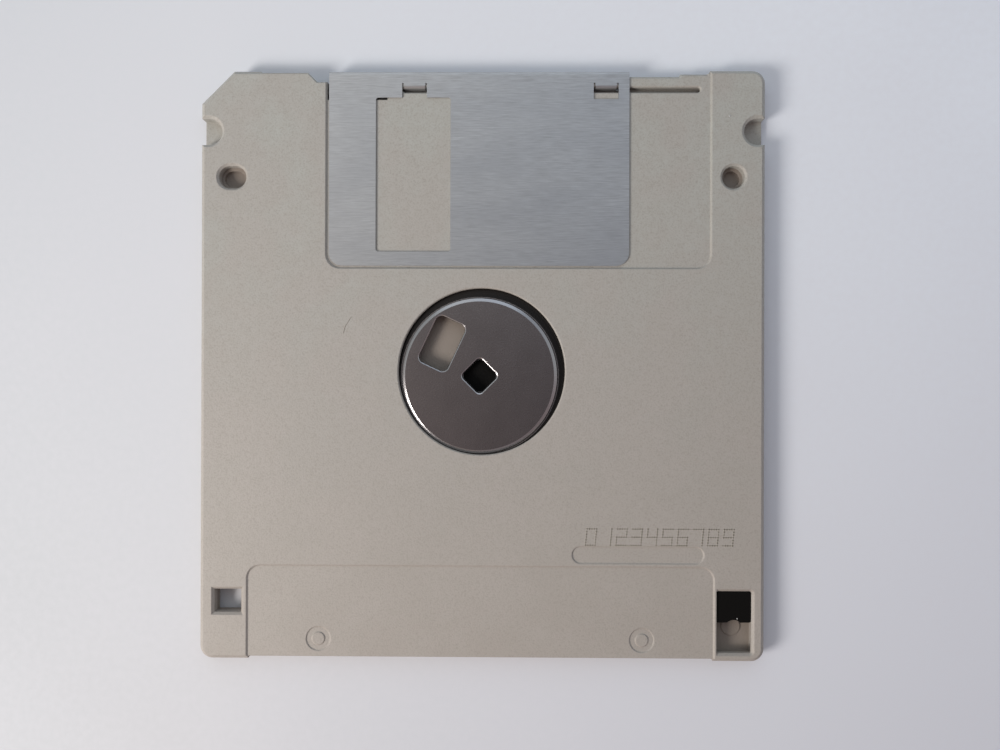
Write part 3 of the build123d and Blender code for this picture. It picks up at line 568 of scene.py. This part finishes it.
# %% Where the dots go
DIGITS = "0123456789"
NUMBER_LEFT = 16.6 * MM
NUMBER_BASE = -28.55 * MM
DIGIT_PITCH = 2.42 * MM
COLUMN_PITCH = 0.38 * MM
ROW_PITCH = 0.43 * MM
LEAN = 0.1
CORNERS = {"a": ((0, 6), (4, 6)), "b": ((4, 6), (4, 3)), "c": ((4, 3), (4, 0)), "d": ((0, 0), (4, 0)),
           "e": ((0, 3), (0, 0)), "f": ((0, 6), (0, 3)), "g": ((0, 3), (4, 3))}
STROKES = {"0": "abcdef", "1": "bc", "2": "abged", "3": "abgcd", "4": "fgbc", "5": "afgcd",
           "6": "afgedc", "7": "abc", "8": "abcdefg", "9": "abcdfg"}  # as on a pocket calculator


def digit_dots(digit):
    """The dots of one digit as (column, row) from its lower left corner, each once."""
    found = set()
    for stroke in STROKES[digit]:
        (x0, y0), (x1, y1) = CORNERS[stroke]
        steps = max(abs(x1 - x0), abs(y1 - y0))
        for step in range(steps + 1):
            found.add((x0 + (x1 - x0) * step // steps, y0 + (y1 - y0) * step // steps))
    return sorted(found)


dot_places = []
for place, digit in enumerate(DIGITS):
    for column, row in digit_dots(digit):
        y = NUMBER_BASE + row * ROW_PITCH
        x = NUMBER_LEFT + place * DIGIT_PITCH + column * COLUMN_PITCH + LEAN * row * ROW_PITCH
        dot_places.append((x, y, case_face))
print("dots:", len(dot_places))


# %% [markdown]
# A stamping pin presses a small pit and pushes up a lip round it. The pit is painted dark, a painted
# shade, and the lip pale, a painted highlight, and that, more than the depth, is what the eye reads.
# So the crater's mesh carries an attribute that tells its material where the pit is.

# %% One crater
CRATER_SIDES = 8
CRATER_RINGS = ((0.20, -0.002, 0.0), (0.155, 0.030, 0.0), (0.135, 0.028, 0.6), (0.10, 0.004, 1.0))


def lathed(name, rings, sides, lean=0.0):
    """A dome or crater from rings of (radius mm, height mm, pit), outermost first, closed in the middle."""
    points = []
    for radius, height, pit in rings:
        for side in range(sides):
            turn = 2 * math.pi * side / sides
            y = radius * math.sin(turn)
            points.append(Vector((radius * math.cos(turn) * (1 - lean) + lean * y, y, height)) * MM)
    faces = []
    for start in range(0, (len(rings) - 1) * sides, sides):
        for side in range(sides):
            following = (side + 1) % sides
            faces.append((start + side, start + following, start + sides + following, start + sides + side))
    faces.append(range(len(points) - sides, len(points)))
    mesh = bpy.data.meshes.new(name)
    mesh.from_pydata(points, [], faces)
    pits = mesh.attributes.new("pit", "FLOAT", "POINT")
    pits.data.foreach_set("value", [pit for radius, height, pit in rings for side in range(sides)])
    return bpy.data.objects.new(name, mesh)


def stamped_abs():
    material, tree, shader = new_material("ABS_stamped_pits", Roughness=0.5, IOR=1.53)
    pit = add(tree, "ShaderNodeAttribute", {"attribute_name": "pit"}).outputs["Fac"]
    # painted highlight: the lip is painted pale; painted shade: the pit is painted dark
    lip = layered(tree, "#BDB8AE", (mask(tree, 0.3), "#AAA59B"))
    finish(tree, shader, layered(tree, lip, (pit, "#453E36")), bumps=[(mask(tree, GRAIN_MM), 0.01)])
    return material


crater = lathed("crater", CRATER_RINGS, CRATER_SIDES, lean=LEAN)
print("crater:", len(crater.data.polygons), "faces")


# %% [markdown]
# The same crater sits on every point of the digits' strokes, which is a job for Geometry Nodes: points
# in, instances on them, one mesh out. The same tree also strews the few crumbs of dust.

# %% Pieces on points
def strewing_tree(name, piece, material, seed):
    """Geometry Nodes: sets piece on every point of a mesh, in slightly random sizes, as one mesh."""
    tree = bpy.data.node_groups.new(name, "GeometryNodeTree")
    tree.interface.new_socket("Points", in_out="INPUT", socket_type="NodeSocketGeometry")
    tree.interface.new_socket("Smallest", in_out="INPUT", socket_type="NodeSocketFloat")
    tree.interface.new_socket("Largest", in_out="INPUT", socket_type="NodeSocketFloat")
    tree.interface.new_socket("Mesh", in_out="OUTPUT", socket_type="NodeSocketGeometry")
    given = tree.nodes.new("NodeGroupInput").outputs
    points = add(tree, "GeometryNodeMeshToPoints", Mesh=given["Points"])
    shape = add(tree, "GeometryNodeObjectInfo", Object=piece)
    size = add(tree, "FunctionNodeRandomValue", _2=given["Smallest"], _3=given["Largest"], Seed=seed)
    placed = add(
        tree, "GeometryNodeInstanceOnPoints",
        Points=points.outputs[0], Instance=shape.outputs["Geometry"], Scale=size.outputs[1],
    )
    real = add(tree, "GeometryNodeRealizeInstances", Geometry=placed.outputs[0])
    painted = add(tree, "GeometryNodeSetMaterial", Geometry=real.outputs[0], Material=material)
    tree.links.new(painted.outputs[0], tree.nodes.new("NodeGroupOutput").inputs[0])
    return tree


def strewn(name, points, tree, smallest, largest):
    """Runs a tree on points and keeps its result as a plain mesh object."""
    seedbed = bpy.data.meshes.new(name + "_points")
    seedbed.from_pydata(points, [], [])
    source = bpy.data.objects.new(name + "_source", seedbed)
    bpy.context.scene.collection.objects.link(source)
    modifier = source.modifiers.new("strew", "NODES")
    modifier.node_group = tree
    names = {item.name: item.identifier for item in tree.interface.items_tree if item.in_out == "INPUT"}
    modifier[names["Smallest"]] = smallest
    modifier[names["Largest"]] = largest
    evaluated = source.evaluated_get(bpy.context.evaluated_depsgraph_get())
    mesh = bpy.data.meshes.new_from_object(evaluated)
    source.modifiers.remove(modifier)
    bpy.data.objects.remove(source)
    piece = bpy.data.objects.new(name, mesh)
    bpy.context.scene.collection.objects.link(piece)
    return piece


stamping = strewing_tree("stamped_dots", crater, stamped_abs(), seed=4)
lot_number = strewn("lot_number_dots", dot_places, stamping, 0.85, 1.1)
bpy.data.objects.remove(crater)
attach(lot_number, "case")
print("lot number:", len(lot_number.data.polygons), "faces")


# %% [markdown]
# A disk that lay about has a little dust: a hair on the left of the case, a pale crumb near its front
# right corner and another on the slider. A hair is a bent line with a thickness, so it is a curve.

# %% Dust
CRUMB_RINGS = ((0.16, 0.0, 0.0), (0.14, 0.06, 0.0), (0.07, 0.11, 0.0))
HAIR_POINTS_MM = ((-22.05, 5.0), (-21.95, 5.8), (-21.45, 6.7), (-20.85, 7.6))
HAIR_RADIUS = 0.035 * MM
CASE_CRUMB = (39.3 * MM, 39.7 * MM, case_face)
SLIDER_CRUMB = (40.75 * MM, -40.2 * MM, slider_face)


def dust(name, dark, light):
    material, tree, shader = new_material(name, Roughness=0.9)
    finish(tree, shader, layered(tree, dark, (mask(tree, 0.15), light)), bumps=[(mask(tree, 0.1), 0.01)])
    return material


crumb = lathed("crumb", CRUMB_RINGS, 7)
strewing = strewing_tree("crumbs", crumb, dust("paper_dust", "#A9ABAB", "#C9CACA"), seed=11)
case_crumb = strewn("case_crumb", [CASE_CRUMB], strewing, 0.9, 1.1)
slider_crumb = strewn("slider_crumb", [SLIDER_CRUMB], strewing, 0.5, 0.7)
bpy.data.objects.remove(crumb)

hair_curve = bpy.data.curves.new("hair", "CURVE")
hair_curve.dimensions = "3D"
hair_curve.bevel_depth = HAIR_RADIUS
hair_curve.bevel_resolution = 1
hair_curve.use_fill_caps = True
run = hair_curve.splines.new("NURBS")
run.points.add(len(HAIR_POINTS_MM) - 1)
for point, (x, y) in zip(run.points, HAIR_POINTS_MM):
    point.co = (x * MM, y * MM, case_face + HAIR_RADIUS / 2, 1.0)
run.order_u = 3
run.use_endpoint_u = True
hair_source = bpy.data.objects.new("hair_source", hair_curve)
bpy.context.scene.collection.objects.link(hair_source)
evaluated_hair = hair_source.evaluated_get(bpy.context.evaluated_depsgraph_get())
hair_mesh = bpy.data.meshes.new_from_object(evaluated_hair)
bpy.data.objects.remove(hair_source)
hair_mesh.materials.append(dust("textile_fibre", "#827C73", "#918B82"))
hair = bpy.data.objects.new("hair", hair_mesh)
bpy.context.scene.collection.objects.link(hair)

for piece, body, slot in (
    (case_crumb, "case", "case_plastic"),
    (hair, "case", "case_plastic"),
    (slider_crumb, "slider_body", "slider_plastic"),
):
    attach(piece, body)
    print(piece.name, len(piece.data.polygons), "faces")
